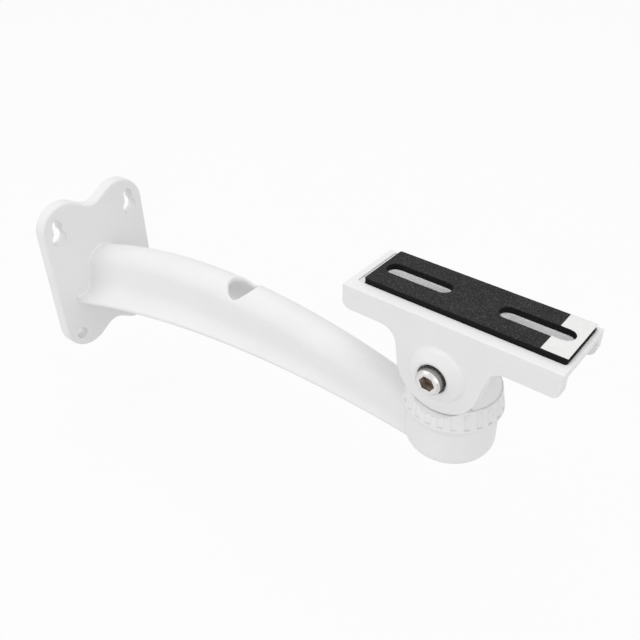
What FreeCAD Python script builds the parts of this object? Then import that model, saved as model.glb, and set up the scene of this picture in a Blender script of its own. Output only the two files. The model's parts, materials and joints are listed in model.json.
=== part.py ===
import FreeCAD, Part
import math
import os
import Sketcher
from FreeCAD import Placement, Rotation, Vector

# Wall bracket for a camera: a cast arm with its wall plate, a panning swivel and a tilting tray.
# The origin is the middle of the plate's back face. +X points away from the wall and +Z is up.
# Head pieces are drawn about the point where the tilt axis crosses the pan axis.

doc = FreeCAD.newDocument("CameraBracket")
sheet = doc.addObject("Spreadsheet::Sheet", "Sizes")

# Driving sizes in millimetres: name, value, meaning
SIZES = [
    ("plate_height", 110.0, "wall plate from bottom to top"),
    ("plate_width", 80.0, "wall plate from side to side"),
    ("plate_thickness", 8.0, "wall plate at its edge"),
    ("plate_rounding", 1.5, "rounding of the plate's front edge"),
    ("lobe_radius", 18.0, "rounded corners of the plate"),
    ("waist_depth", 8.4, "hollow in the plate's top and bottom edges"),
    ("waist_share", 0.8, "radius of that hollow against the largest that fits between the lobes"),
    ("anchor_rise", 43.0, "anchor points above and below the middle"),
    ("anchor_spread", 29.0, "anchor points either side of the middle"),
    ("anchor_bore", 8.0, "round anchor holes"),
    ("keyhole_slot", 6.8, "narrow end of a keyhole"),
    ("keyhole_bore", 10.8, "wide end of a keyhole"),
    ("keyhole_drop", 9.6, "wide end below the narrow end"),
    ("cable_bore", 27.0, "cable hole through the plate"),
    ("cable_drop", 9.4, "cable hole below the middle"),
    ("cable_lead", 6.0, "arm's feet cut back above that hole"),
    ("cable_relief", 0.4, "that cut wider than the hole, on the radius"),
    ("back_depth", 3.2, "hollow behind the plate"),
    ("back_width", 48.0, "width of that hollow"),
    ("back_height", 56.0, "height of that hollow"),
    ("back_drop", 6.0, "hollow's centre below the middle"),
    ("back_corner", 8.0, "corner radius of that hollow"),
    ("notch_width", 13.6, "cable notch at the plate's side"),
    ("notch_depth", 4.5, "depth of that notch"),
    ("notch_drop", 16.4, "notch below the middle"),
    ("notch_overlap", 3.0, "notch let into the hollow behind the plate"),
    ("reach", 286.0, "wall to pan axis"),
    ("tilt_height", 55.0, "tilt axis above the plate's middle"),
    ("web_crest_reach", 147.0, "highest point of the arm's back, from the wall"),
    ("web_crest_height", 38.2, "height of that point"),
    ("web_bend", 430.0, "arch radius of the arm's back"),
    ("lip_crest_reach", 184.0, "highest point of the arm's lips, from the wall"),
    ("lip_crest_height", 9.6, "height of that point"),
    ("lip_bend", 645.0, "arch radius of the lips"),
    ("lip_width_wall", 53.0, "arm over its lips at the wall"),
    ("lip_width_hub", 28.0, "arm over its lips at the hub"),
    ("lip_share", 0.32, "part of the arm's depth that flares out"),
    ("back_radius", 12.0, "round back of the arm's section"),
    ("side_draft", 10.0, "slope of the arm's sides in degrees"),
    ("arm_wall", 3.0, "wall of the arm's channel"),
    ("lip_bulge", 0.8, "rounding of the lips' free edges"),
    ("root_fillet", 1.5, "blend between arm and plate"),
    ("web_hole", 17.4, "cable hole through the arm's back"),
    ("web_hole_rounding", 1.2, "rounding of that hole's upper edge"),
    ("web_hole_reach", 144.8, "that hole from the wall"),
    ("hub_radius", 22.6, "cup at the arm's end"),
    ("hub_height", 22.1, "height of the cup"),
    ("hub_rounding", 5.5, "rounded lower edge of the cup"),
    ("hub_cavity", 16.0, "radius of the hollow in the cup"),
    ("deck_thickness", 7.0, "floor between cup hollow and swivel"),
    ("hub_drop", 31.9, "top of the cup below the tilt axis"),
    ("spigot_radius", 9.0, "swivel's pilot in the cup"),
    ("spigot_depth", 2.5, "height of that pilot"),
    ("ring_foot_radius", 22.9, "swivel ring where it meets the cup"),
    ("ring_radius", 24.8, "swivel ring at its widest"),
    ("ring_rim_radius", 22.7, "swivel ring at its rim"),
    ("ring_rim_drop", 17.0, "rim below the tilt axis"),
    ("ring_bevel", 3.4, "height of the bevel under the ring"),
    ("lug_count", 24.0, "flutes round the ring"),
    ("flute_radius", 2.2, "radius of a flute"),
    ("flute_depth", 0.7, "depth of a flute"),
    ("flute_drop", 1.6, "plain band above and below the flutes"),
    ("dome_radius", 22.3, "swivel dome at the rim"),
    ("dome_top_radius", 10.9, "swivel dome at its top"),
    ("dome_top", 16.0, "top of the dome above the tilt axis"),
    ("dome_rounding", 3.5, "rounding of the dome's top"),
    ("block_gap", 0.35, "swivel to cheek on each side"),
    ("cheek_gap", 0.5, "round of the cheek to its pocket"),
    ("tray_length", 110.0, "camera tray"),
    ("tray_width", 40.0, "camera tray over its flanges"),
    ("tray_shift", 1.4, "tray's middle ahead of the tilt axis"),
    ("tray_top", 28.0, "tray's top above the tilt axis"),
    ("deck_wall", 3.5, "tray's deck"),
    ("flange_depth", 13.0, "flanges below the tray's top"),
    ("flange_wall", 4.5, "tray's flanges"),
    ("flange_corner", 4.0, "lower corners of the flanges"),
    ("tray_rounding", 0.5, "rounding of the tray's upper edge"),
    ("cheek_radius", 21.6, "round lower end of a cheek"),
    ("cheek_wall", 6.0, "thickness of a cheek"),
    ("cheek_fillet", 9.0, "blend between cheek and flange"),
    ("cheek_lean_front", 2.6, "front blend set out from the upright cheek"),
    ("cheek_lean_rear", 1.0, "rear blend set out from the upright cheek"),
    ("boss_height", 4.2, "boss on a cheek"),
    ("boss_radius", 14.6, "boss at its foot"),
    ("boss_shoulder", 1.8, "height of the steep edge round the boss"),
    ("boss_shoulder_radius", 13.5, "boss at the top of that edge"),
    ("boss_top_radius", 8.6, "boss at its top"),
    ("boss_rounding", 1.0, "rounding above the boss's steep edge"),
    ("head_recess_radius", 7.6, "recess for the screw's head"),
    ("head_stand", 4.4, "screw's head proud of the boss"),
    ("rim_rear", 7.3, "tray past the pad's rear end"),
    ("rim_front", 2.5, "tray past the pad's front end"),
    ("rim_right", 7.0, "tray past the pad's right side"),
    ("rim_left", 2.2, "tray past the pad's left side"),
    ("pad_thickness", 3.2, "foam pad"),
    ("pad_sunk", 0.6, "recess for the pad"),
    ("pad_corner", 1.0, "corner radius of the pad"),
    ("recess_margin", 1.0, "recess wider than the pad"),
    ("recess_rear", 3.0, "recess further past the pad's rear end"),
    ("slot_margin", 3.0, "pad left between a camera slot and the pad's end"),
    ("slot_travel", 26.0, "straight part of a camera slot"),
    ("slot_width", 7.0, "camera slot in the tray"),
    ("foam_slot_width", 9.0, "the same slot in the foam"),
    ("liner_length", 11.4, "strip of liner left on the pad"),
    ("liner_thickness", 0.2, "that strip"),
    ("liner_margin", 0.4, "strip inside the pad's edges"),
    ("liner_corner", 0.5, "corner radius of that strip"),
    ("bolt_diameter", 8.0, "tilt screw and pan bolt"),
    ("bolt_gap", 0.3, "bolt in a clearance hole, on the radius"),
    ("running_gap", 0.08, "pilot and tilt screw where they turn, on the radius"),
    ("thread_gap", 0.05, "bolt in its thread, on the radius"),
    ("head_diameter", 13.0, "bolt heads"),
    ("head_height", 8.0, "bolt heads"),
    ("head_chamfer", 1.1, "edge of a bolt head"),
    ("socket_flats", 7.0, "hexagon socket across its flats"),
    ("socket_turn", 56.0, "first corner of the socket in degrees"),
    ("socket_depth", 4.5, "hexagon socket"),
    ("socket_mouth", 4.5, "radius of the shallow cone at the socket's mouth"),
    ("socket_dish", 0.9, "depth of that cone"),
    ("washer_diameter", 15.0, "flat washers"),
    ("washer_thickness", 1.6, "flat washers"),
    ("spring_diameter", 14.0, "spring washer"),
    ("spring_thickness", 2.0, "spring washer"),
    ("spring_split", 1.6, "gap in the spring washer"),
    ("nut_flats", 13.0, "nut across its flats"),
    ("nut_thickness", 6.5, "nut"),
    ("nut_gap", 0.1, "nut in its pocket"),
    ("tip_stand", 1.2, "tilt screw past the far boss"),
    ("tip_chamfer", 1.0, "pointed end of a bolt"),
    ("pan_bolt_length", 25.0, "pan bolt below its head"),
]
for row, (alias, amount, meaning) in enumerate(SIZES, 1):
    sheet.set(f"A{row}", meaning)
    sheet.set(f"B{row}", str(amount))
    sheet.setAlias(f"B{row}", alias)
doc.recompute()

ARM_STATIONS = 7

# Size and middle of the foam pad, and how far the camera slots' middles are from it
PAD_LENGTH = "(tray_length - rim_rear - rim_front)"
PAD_WIDTH = "(tray_width - rim_right - rim_left)"
PAD_X = "(tray_shift + (rim_rear - rim_front) / 2)"
PAD_Y = "((rim_right - rim_left) / 2)"
SLOT_X = f"(({PAD_LENGTH} - slot_travel - foam_slot_width) / 2 - slot_margin)"


def size(expression):
    """The value of an expression in the sheet's names."""
    return float(sheet.evalExpression(expression))


def linked(expression):
    """The same expression with each name written as a reference to the sheet."""
    words = sorted((alias for alias, _, _ in SIZES), key=len, reverse=True)
    text = expression
    for number, word in enumerate(words):
        text = replace_word(text, word, f"@{number}@")
    for number, word in enumerate(words):
        text = text.replace(f"@{number}@", f"Sizes.{word}")
    return text


def replace_word(text, word, mark):
    """Swap a whole word for a mark and leave longer words that contain it."""
    pieces = text.split(word)
    rebuilt = pieces[0]
    for before, after in zip(pieces, pieces[1:]):
        inside = (rebuilt[-1:].isalnum() or rebuilt[-1:] == "_"
                  or after[:1].isalnum() or after[:1] == "_")
        rebuilt += (word if inside else mark) + after
    return rebuilt


def bind(item, prop, expression):
    """Tie one property of an object to the sheet."""
    item.setExpression(prop, linked(expression))


def origin_plane(body, role):
    return next(feature for feature in body.Origin.OriginFeatures if feature.Role == role)


def new_body(label, at_head=False):
    """A PartDesign body, placed at the tilt axis when it belongs to the head."""
    body = doc.addObject("PartDesign::Body", label)
    body.Label = label
    if at_head:
        place_at_head(body)
    return body


def place_at_head(item):
    bind(item, "Placement.Base.x", "reach")
    bind(item, "Placement.Base.z", "tilt_height")


def new_sketch(body, name, role, offset=None):
    """A sketch on one of the body's own planes, lifted along that plane's normal."""
    sketch = body.newObject("Sketcher::SketchObject", name)
    sketch.AttachmentSupport = [(origin_plane(body, role), "")]
    sketch.MapMode = "FlatFace"
    if offset:
        bind(sketch, "AttachmentOffset.Base.z", offset)
    return sketch


def pin(sketch, geometry, point, x, y):
    """Hold a point of the sketch at two expressions, measured from the sketch's origin."""
    for kind, expression in (("DistanceX", x), ("DistanceY", y)):
        where = Sketcher.Constraint(kind, -1, 1, geometry, point, size(expression))
        number = sketch.addConstraint(where)
        sketch.setExpression(f"Constraints[{number}]", linked(expression))


def fix_radius(sketch, geometry, expression):
    number = sketch.addConstraint(Sketcher.Constraint("Radius", geometry, size(expression)))
    sketch.setExpression(f"Constraints[{number}]", linked(expression))


def draw_circle(sketch, x, y, radius):
    centre = Vector(size(x), size(y), 0)
    circle = sketch.addGeometry(Part.Circle(centre, Vector(0, 0, 1), size(radius)))
    pin(sketch, circle, 3, x, y)
    fix_radius(sketch, circle, radius)


def draw_polygon(sketch, corners):
    """A closed outline with straight sides through corners given as pairs of expressions."""
    spots = [Vector(size(x), size(y), 0) for x, y in corners]
    count = len(spots)
    first = sketch.GeometryCount
    for index, spot in enumerate(spots):
        sketch.addGeometry(Part.LineSegment(spot, spots[(index + 1) % count]))
    for index in range(count):
        following = first + (index + 1) % count
        sketch.addConstraint(Sketcher.Constraint("Coincident", first + index, 2, following, 1))
    for index, (x, y) in enumerate(corners):
        pin(sketch, first + index, 1, x, y)


def draw_rounded(sketch, rounds):
    """A closed outline of arcs joined by tangent lines.

    Each round is (x, y, radius, turn): turn is 1 where the outline bends to the left round
    the centre and -1 where it bends to the right. The outline runs anticlockwise.
    """
    centres = [Vector(size(x), size(y), 0) for x, y, _, _ in rounds]
    signed = [size(radius) * turn for _, _, radius, turn in rounds]
    count = len(rounds)
    leaving, arriving = [], [None] * count
    for index in range(count):
        ahead = (index + 1) % count
        step = centres[ahead] - centres[index]
        slant = math.asin((signed[index] - signed[ahead]) / step.Length)
        heading = math.atan2(step.y, step.x) + slant
        aside = Vector(math.sin(heading), -math.cos(heading), 0)
        leaving.append(centres[index] + aside * signed[index])
        arriving[ahead] = centres[ahead] + aside * signed[ahead]
    arcs, lines = [], []
    for centre, radius, start, end in zip(centres, signed, arriving, leaving):
        low, high = (start, end) if radius > 0 else (end, start)
        first_angle = math.atan2(low.y - centre.y, low.x - centre.x)
        last_angle = math.atan2(high.y - centre.y, high.x - centre.x)
        if last_angle <= first_angle:
            last_angle += 2 * math.pi
        circle = Part.Circle(centre, Vector(0, 0, 1), abs(radius))
        arcs.append(sketch.addGeometry(Part.ArcOfCircle(circle, first_angle, last_angle)))
    for index in range(count):
        ahead = (index + 1) % count
        lines.append(sketch.addGeometry(Part.LineSegment(leaving[index], arriving[ahead])))
    for index, (x, y, radius, turn) in enumerate(rounds):
        ahead = (index + 1) % count
        out_point = 2 if turn > 0 else 1
        in_point = 1 if rounds[ahead][3] > 0 else 2
        pin(sketch, arcs[index], 3, x, y)
        fix_radius(sketch, arcs[index], radius)
        joint = Sketcher.Constraint("Tangent", arcs[index], out_point, lines[index], 1)
        sketch.addConstraint(joint)
        joint = Sketcher.Constraint("Tangent", lines[index], 2, arcs[ahead], in_point)
        sketch.addConstraint(joint)


def draw_slot(sketch, x, y, travel, width):
    """A slot along the sketch's X direction."""
    draw_rounded(sketch, [
        (f"{x} - {travel} / 2", y, f"{width} / 2", 1),
        (f"{x} + {travel} / 2", y, f"{width} / 2", 1),
    ])


def draw_box(sketch, x, y, length, width, corner):
    """A rectangle with rounded corners about a middle point."""
    draw_rounded(sketch, [
        (f"{x} + {sign_x} * ({length} / 2 - {corner})",
         f"{y} + {sign_y} * ({width} / 2 - {corner})", corner, 1)
        for sign_x, sign_y in ((-1, -1), (1, -1), (1, 1), (-1, 1))
    ])


def draw_hexagon(sketch, flats, turn="30"):
    """A hexagon about the sketch's origin with its first corner at an angle in degrees."""
    corners = []
    for index in range(6):
        across = f"{flats} / sqrt(3)"
        corners.append((f"{across} * cos({60 * index} + {turn})",
                        f"{across} * sin({60 * index} + {turn})"))
    draw_polygon(sketch, corners)


def pad(body, name, sketch, length, both_ways=False, turned=False):
    feature = body.newObject("PartDesign::Pad", name)
    feature.Profile = sketch
    if both_ways:
        feature.SideType = "Symmetric"
    feature.Reversed = turned
    bind(feature, "Length", length)
    body.Tip = feature
    doc.recompute()
    return feature


def pocket(body, name, sketch, length=None, both_ways=False, turned=False):
    """Cut a sketch's outline out of the body, all the way through without a length."""
    feature = body.newObject("PartDesign::Pocket", name)
    feature.Profile = sketch
    if both_ways:
        feature.SideType = "Symmetric"
    feature.Reversed = turned
    if length:
        bind(feature, "Length", length)
    else:
        feature.Type = "ThroughAll"
    body.Tip = feature
    doc.recompute()
    return feature


def revolve(body, name, sketch):
    """Turn a sketch about its own vertical axis."""
    feature = body.newObject("PartDesign::Revolution", name)
    feature.Profile = sketch
    feature.ReferenceAxis = (sketch, ["V_Axis"])
    feature.Angle = 360
    body.Tip = feature
    doc.recompute()
    return feature


def round_edges(body, name, radius, wanted):
    """Fillet those edges of the body for which wanted(edge) is true."""
    base = body.Tip
    names = [f"Edge{index}" for index, edge in enumerate(base.Shape.Edges, 1) if wanted(edge)]
    feature = body.newObject("PartDesign::Fillet", name)
    feature.Base = (base, names)
    bind(feature, "Radius", radius)
    body.Tip = feature
    doc.recompute()
    return feature


def flat_at(edge, axis, level):
    """True where the whole edge lies at one level of an axis."""
    box = edge.BoundBox
    low = getattr(box, axis + "Min")
    high = getattr(box, axis + "Max")
    return abs(low - level) < 0.01 and abs(high - level) < 0.01


def cylinder(label, radius, height, x="0", y="0", z="0", along="Z"):
    """A cylinder that starts at a point and runs along +X, +Y or +Z."""
    item = doc.addObject("Part::Cylinder", label)
    item.Label = label
    bind(item, "Radius", radius)
    bind(item, "Height", height)
    turns = {"Z": Rotation(), "X": Rotation(Vector(0, 1, 0), 90), "Y": Rotation(Vector(1, 0, 0), -90)}
    item.Placement = Placement(Vector(), turns[along])
    for prop, expression in (("x", x), ("y", y), ("z", z)):
        bind(item, f"Placement.Base.{prop}", expression)
    return item


def combine(kind, label, pieces):
    """Part::MultiFuse of several shapes."""
    item = doc.addObject(kind, label)
    item.Label = label
    item.Shapes = pieces
    return item


def subtract(label, base, tool):
    item = doc.addObject("Part::Cut", label)
    item.Label = label
    item.Base = base
    item.Tool = tool
    return item


def wall_plate():
    """The plate with its lobes and waists, anchor holes, keyholes and the hollow behind it."""
    body = new_body("plate_form")
    outline = new_sketch(body, "plate_outline", "YZ_Plane")
    lobe_y = "(plate_width / 2 - lobe_radius)"
    lobe_z = "(plate_height / 2 - lobe_radius)"
    widest = f"(({lobe_y} ^ 2 / waist_depth + waist_depth) / 2 - lobe_radius)"
    waist_radius = f"(waist_share * {widest})"
    waist_z = f"(plate_height / 2 - waist_depth + {waist_radius})"
    draw_rounded(outline, [
        (f"0 - {lobe_y}", f"0 - {lobe_z}", "lobe_radius", 1),
        ("0", f"0 - {waist_z}", waist_radius, -1),
        (lobe_y, f"0 - {lobe_z}", "lobe_radius", 1),
        (lobe_y, lobe_z, "lobe_radius", 1),
        ("0", waist_z, waist_radius, -1),
        (f"0 - {lobe_y}", lobe_z, "lobe_radius", 1),
    ])
    pad(body, "plate", outline, "plate_thickness")
    front = size("plate_thickness")
    round_edges(body, "front_rounding", "plate_rounding", lambda edge: flat_at(edge, "X", front))

    anchors = new_sketch(body, "anchor_holes", "YZ_Plane")
    keyholes = new_sketch(body, "keyhole_wide_ends", "YZ_Plane")
    slots = new_sketch(body, "keyhole_slots", "YZ_Plane")
    for side in ("-1", "1"):
        across = f"{side} * anchor_spread"
        draw_circle(anchors, across, "0 - anchor_rise", "anchor_bore / 2")
        draw_circle(keyholes, across, "anchor_rise - keyhole_drop", "keyhole_bore / 2")
        draw_rounded(slots, [
            (across, "anchor_rise", "keyhole_slot / 2", 1),
            (across, "anchor_rise - keyhole_drop", "keyhole_slot / 2", 1),
        ])
    for name, sketch in (("anchors", anchors), ("keyholes", keyholes), ("slots", slots)):
        pocket(body, f"{name}_cut", sketch, turned=True)

    hollow = new_sketch(body, "back_outline", "YZ_Plane")
    draw_box(hollow, "0", "0 - back_drop", "back_width", "back_height", "back_corner")
    pocket(body, "back_hollow", hollow, "back_depth", turned=True)

    notch = new_sketch(body, "notch_outline", "XZ_Plane", "notch_overlap - back_width / 2")
    rise = "((notch_width / 2) ^ 2 + notch_depth ^ 2) / (2 * notch_depth)"
    draw_circle(notch, f"notch_depth - {rise}", "0 - notch_drop", rise)
    pocket(body, "cable_notch", notch)
    return body


def arm_section(crest_x):
    """One closed section of the open channel, square to the arch of the arm's back."""
    bend = size("web_bend")
    lean = math.asin((crest_x - size("web_crest_reach")) / bend)
    web_centre_z = size("web_crest_height") - bend
    crest = Vector(crest_x, 0, web_centre_z + bend * math.cos(lean))
    inward = Vector(-math.sin(lean), 0, -math.cos(lean))

    lip_centre = Vector(size("lip_crest_reach"), 0, size("lip_crest_height") - size("lip_bend"))
    gap = crest - lip_centre
    along = gap.dot(inward)
    depth = -along - math.sqrt(along ** 2 - gap.dot(gap) + size("lip_bend") ** 2)

    share = crest_x / size("reach")
    lip_half = (size("lip_width_wall") * (1 - share) + size("lip_width_hub") * share) / 2
    wall = size("arm_wall")
    back = size("back_radius")
    draft = math.radians(size("side_draft"))
    downhill = Vector(math.sin(draft), math.cos(draft), 0)
    outward = Vector(math.cos(draft), -math.sin(draft), 0)

    back_centre = Vector(0, back, 0)
    shoulder = back_centre + outward * back
    flare_start_depth = depth * (1 - size("lip_share"))
    flare_start = shoulder + downhill * ((flare_start_depth - shoulder.y) / downhill.y)
    lip = Vector(lip_half, depth, 0)
    chord = lip - flare_start
    swing = chord.dot(chord) / (2 * chord.dot(outward))
    flare_centre = flare_start + outward * swing

    def offset(point, centre, radius, change):
        return centre + (point - centre) * ((radius + change) / radius)

    def middle(start, end, centre, radius):
        ray = (start - centre) + (end - centre)
        return centre + ray * (radius / ray.Length)

    inner_shoulder = offset(shoulder, back_centre, back, -wall)
    inner_start = offset(flare_start, flare_centre, swing, wall)
    inner_lip = offset(lip, flare_centre, swing, wall)
    flare_middle = middle(flare_start, lip, flare_centre, swing)
    inner_flare_middle = middle(inner_start, inner_lip, flare_centre, swing + wall)
    edge_along = (inner_lip - lip).normalize()
    edge_out = Vector(-edge_along.y, edge_along.x, 0)
    if edge_out.y < 0:
        edge_out = edge_out * -1
    lip_middle = (lip + inner_lip) * 0.5 + edge_out * size("lip_bulge")

    def spot(point, side):
        return crest + Vector(0, side * point.x, 0) + inward * point.y

    def half(side):
        """Edges from the shoulder down the outside and back up the inside."""
        return [
            Part.LineSegment(spot(shoulder, side), spot(flare_start, side)),
            Part.Arc(spot(flare_start, side), spot(flare_middle, side), spot(lip, side)),
            Part.Arc(spot(lip, side), spot(lip_middle, side), spot(inner_lip, side)),
            Part.Arc(spot(inner_lip, side), spot(inner_flare_middle, side), spot(inner_start, side)),
            Part.LineSegment(spot(inner_start, side), spot(inner_shoulder, side)),
        ]

    top = Part.Arc(spot(shoulder, -1), crest, spot(shoulder, 1))
    inner_top = Part.Arc(spot(inner_shoulder, 1), crest + inward * wall, spot(inner_shoulder, -1))
    left = half(-1)
    for curve in left:
        curve.reverse()
    curves = [top] + half(1) + [inner_top] + left[::-1]
    return Part.Wire([curve.toShape() for curve in curves])


def arm_channel():
    """The arched channel from inside the plate to inside the hub cup."""
    start = -size("plate_thickness") * 1.5
    end = size("reach") - size("spigot_radius")
    wires = []
    for station in range(ARM_STATIONS):
        wires.append(arm_section(start + (end - start) * station / (ARM_STATIONS - 1)))
    channel = Part.makeLoft(wires, True, False)
    inside_plate = size("(plate_thickness + back_depth) / 2")
    tall = size("plate_height")
    room = Part.makeBox(size("reach"), 2 * tall, 2 * tall, Vector(inside_plate, -tall, -tall))
    item = doc.addObject("Part::Feature", "channel_form")
    item.Label = "channel_form"
    item.Shape = channel.common(room)
    return item


def hub_cup():
    """The cup under the swivel, solid here."""
    body = new_body("hub_form", at_head=True)
    profile = new_sketch(body, "hub_profile", "XZ_Plane")
    bottom = "0 - hub_drop - hub_height"
    draw_polygon(profile, [
        ("0", bottom), ("hub_radius", bottom), ("hub_radius", "0 - hub_drop"), ("0", "0 - hub_drop"),
    ])
    revolve(body, "hub_turned", profile)
    level = size(bottom)
    round_edges(body, "hub_edge", "hub_rounding", lambda edge: flat_at(edge, "Z", level))
    return body


def arm_casting():
    """Plate, channel and cup as one casting, with its bores."""
    blank = combine("Part::MultiFuse", "casting_blank", [wall_plate(), arm_channel(), hub_cup()])
    under = "tilt_height - hub_drop - hub_height - 1"
    cavity = cylinder("hub_hollow", "hub_cavity", "hub_height - deck_thickness + 1", x="reach", z=under)
    bore = cylinder("pan_bore", "bolt_diameter / 2 + bolt_gap", "hub_height + 2", x="reach", z=under)
    seat = cylinder("spigot_seat", "spigot_radius + running_gap", "spigot_depth + bolt_gap + 1", x="reach",
                    z="tilt_height - hub_drop - spigot_depth - bolt_gap")
    web = cylinder("web_cable_hole", "web_hole / 2", "back_radius * 2", x="web_hole_reach",
                   z="web_crest_height - back_radius")
    cable = cylinder("plate_cable_hole", "cable_bore / 2", "plate_thickness + 1", x="0 - 1",
                     z="0 - cable_drop", along="X")
    lead = doc.addObject("Part::Cone", "cable_lead_in")
    bind(lead, "Radius1", "cable_bore / 2 + cable_relief")
    bind(lead, "Radius2", "cable_bore / 2 - arm_wall")
    bind(lead, "Height", "cable_lead")
    bind(lead, "Placement.Base.x", "plate_thickness")
    bind(lead, "Placement.Base.z", "0 - cable_drop")
    lead.Placement.Rotation = Rotation(Vector(0, 0, 1), Vector(1, 0, 0))
    tools = combine("Part::MultiFuse", "casting_tools", [cavity, bore, seat, web, cable, lead])
    bored = subtract("casting_bored", blank, tools)
    doc.recompute()

    front = size("plate_thickness")
    beyond = size("plate_thickness + root_fillet")

    def at_foot(edge):
        faces = bored.Shape.ancestorsOfType(edge, Part.Face)
        return flat_at(edge, "X", front) and any(face.BoundBox.XMax > beyond for face in faces)

    crest = max(edge.BoundBox.ZMax for edge in bored.Shape.Edges if at_foot(edge))

    def at_root(edge):
        """The crest of the arm's foot, from where the blend runs on down both sides."""
        return at_foot(edge) and edge.BoundBox.ZMax > crest - 0.01

    def at_web_hole(edge):
        box = edge.BoundBox
        middle = abs(box.Center.x - size("web_hole_reach")) < 1
        return middle and box.XLength > size("web_hole") - 1 and box.ZMax > size("web_crest_height") - 1

    rounded = doc.addObject("Part::Fillet", "arm_casting")
    rounded.Label = "arm_casting"
    rounded.Base = bored
    rounded.Edges = [(index, radius, radius)
                     for wanted, radius in ((at_root, size("root_fillet")),
                                            (at_web_hole, size("web_hole_rounding")))
                     for index, edge in enumerate(bored.Shape.Edges, 1) if wanted(edge)]
    return rounded


def swivel():
    """The fluted ring on the cup and the domed block between the tray's cheeks."""
    ring = new_body("ring_form")
    profile = new_sketch(ring, "ring_profile", "XZ_Plane")
    foot = "0 - hub_drop"
    draw_polygon(profile, [
        ("0", f"{foot} - spigot_depth"),
        ("spigot_radius", f"{foot} - spigot_depth"),
        ("spigot_radius", foot),
        ("ring_foot_radius", foot),
        ("ring_radius", f"{foot} + ring_bevel"),
        ("ring_rim_radius", "0 - ring_rim_drop"),
        ("0", "0 - ring_rim_drop"),
    ])
    revolve(ring, "ring_turned", profile)
    slope = "(ring_radius - ring_rim_radius) / (hub_drop - ring_bevel - ring_rim_drop)"
    flute = new_sketch(ring, "flute_outline", "XY_Plane", "0 - ring_rim_drop - flute_drop")
    flute.AttachmentOffset = Placement(Vector(), Rotation(Vector(0, -1, 0), 1))
    bind(flute, "AttachmentOffset.Rotation.Angle", f"atan({slope})")
    bind(flute, "AttachmentOffset.Base.x",
         f"ring_rim_radius + flute_drop * {slope} + flute_radius - flute_depth")
    draw_circle(flute, "0", "0", "flute_radius")
    cut = pocket(ring, "flute", flute, "hub_drop - ring_bevel - ring_rim_drop - 2 * flute_drop")
    flutes = ring.newObject("PartDesign::PolarPattern", "flutes")
    flutes.Originals = [cut]
    flutes.Axis = (origin_plane(ring, "Z_Axis"), [""])
    flutes.Angle = 360
    bind(flutes, "Occurrences", "lug_count")
    ring.Tip = flutes

    dome = doc.addObject("Part::Cone", "dome_form")
    bind(dome, "Radius1", "dome_radius")
    bind(dome, "Radius2", "dome_top_radius")
    bind(dome, "Height", "ring_rim_drop + dome_top + 1")
    bind(dome, "Placement.Base.z", "0 - ring_rim_drop - 1")
    half_block = "(tray_width / 2 - cheek_wall - block_gap)"
    slab = doc.addObject("Part::Box", "slab_form")
    bind(slab, "Length", "dome_radius * 2")
    bind(slab, "Width", f"{half_block} * 2")
    bind(slab, "Height", "dome_radius * 3")
    bind(slab, "Placement.Base.x", "0 - dome_radius")
    bind(slab, "Placement.Base.y", f"0 - {half_block}")
    bind(slab, "Placement.Base.z", "0 - ring_rim_drop - 1")
    block = doc.addObject("Part::Common", "block_form")
    block.Base = dome
    block.Tool = slab
    doc.recompute()
    crown = doc.addObject("Part::Fillet", "block_crown")
    crown.Base = block
    radius = size("dome_rounding")
    top = size("dome_top")
    crown.Edges = [(index, radius, radius) for index, edge in enumerate(block.Shape.Edges, 1)
                   if flat_at(edge, "Z", top)]
    blank = combine("Part::MultiFuse", "swivel_blank", [ring, crown])

    pockets = []
    for label, start in (("pocket_left", half_block), ("pocket_right", f"0 - {half_block} - ring_radius")):
        pockets.append(cylinder(label, "cheek_radius + cheek_gap", "ring_radius", y=start, along="Y"))
    tilt_bore = cylinder("tilt_bore", "bolt_diameter / 2 + running_gap", "tray_width",
                         y="0 - tray_width / 2", along="Y")
    thread = cylinder("pan_thread", "bolt_diameter / 2 + thread_gap",
                      "spigot_depth + pan_bolt_length - deck_thickness + 2",
                      z=f"{foot} - spigot_depth - 2")
    tools = combine("Part::MultiFuse", "swivel_tools", pockets + [tilt_bore, thread])
    item = subtract("swivel", blank, tools)
    place_at_head(item)
    return item


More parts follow.
